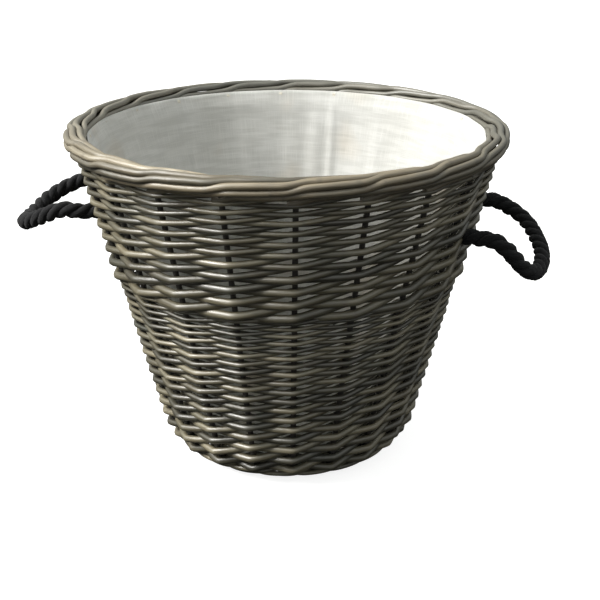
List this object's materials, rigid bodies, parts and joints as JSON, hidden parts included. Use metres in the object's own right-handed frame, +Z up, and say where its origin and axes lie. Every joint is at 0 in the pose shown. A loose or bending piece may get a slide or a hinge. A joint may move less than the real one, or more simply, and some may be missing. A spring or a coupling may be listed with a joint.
{
  "type": "log basket",
  "caption": "Round tapered woven willow log basket with a rolled border, a cloth liner and a soft rope handle on each side that swings up and down.",
  "frame": {"origin": "centre of the ring on the basket's underside that stands on the floor", "axes": "+Z up, X through the two rope handles with the lower-hanging handle on +X, Y across"},
  "size_m": [0.622, 0.5, 0.39],
  "materials": {
    "willow": "washed grey-brown willow rods, satin",
    "border_willow": "washed grey-brown willow rods, paler and worn where handled",
    "base_willow": "unwashed willow sticks, satin",
    "cotton": "off-white slubby plain-weave cotton",
    "thread": "off-white sewing thread",
    "rope": "black soft-laid three-strand cotton rope"
  },
  "bodies": {
    "basket": {"base_weave": "willow", "foot_wale": "willow", "lower_siding": "willow", "upper_siding": "willow", "rim_border": "border_willow", "liner_side": "cotton", "liner_floor": "cotton", "liner_stitches": "thread", "rope_anchor_left": "rope", "rope_anchor_right": "rope", "stake_01": "willow", "stake_02": "willow", "stake_03": "willow", "stake_04": "willow", "stake_05": "willow", "stake_06": "willow", "stake_07": "willow", "stake_08": "willow", "stake_09": "willow", "stake_10": "willow", "stake_11": "willow", "stake_12": "willow", "stake_13": "willow", "stake_14": "willow", "stake_15": "willow", "stake_16": "willow", "stake_17": "willow", "stake_18": "willow", "stake_19": "willow", "stake_20": "willow", "base_stick_01": "base_willow", "base_stick_02": "base_willow", "base_stick_03": "base_willow", "base_stick_04": "base_willow", "base_stick_05": "base_willow", "base_stick_06": "base_willow", "base_stick_07": "base_willow", "base_stick_08": "base_willow", "base_stick_09": "base_willow", "base_stick_10": "base_willow"},
    "left_handle": {"rope_handle_left": "rope"},
    "right_handle": {"rope_handle_right": "rope"}
  },
  "joints": [
    {"name": "left_handle_swing", "type": "hinge", "parent": "basket", "child": "left_handle", "pos_m": [-0.2233, 0, 0.299], "axis": [0, 1, 0], "range_deg": [-70, 70]},
    {"name": "right_handle_swing", "type": "hinge", "parent": "basket", "child": "right_handle", "pos_m": [0.2192, 0, 0.283], "axis": [0, -1, 0], "range_deg": [-60, 80]}
  ]
}
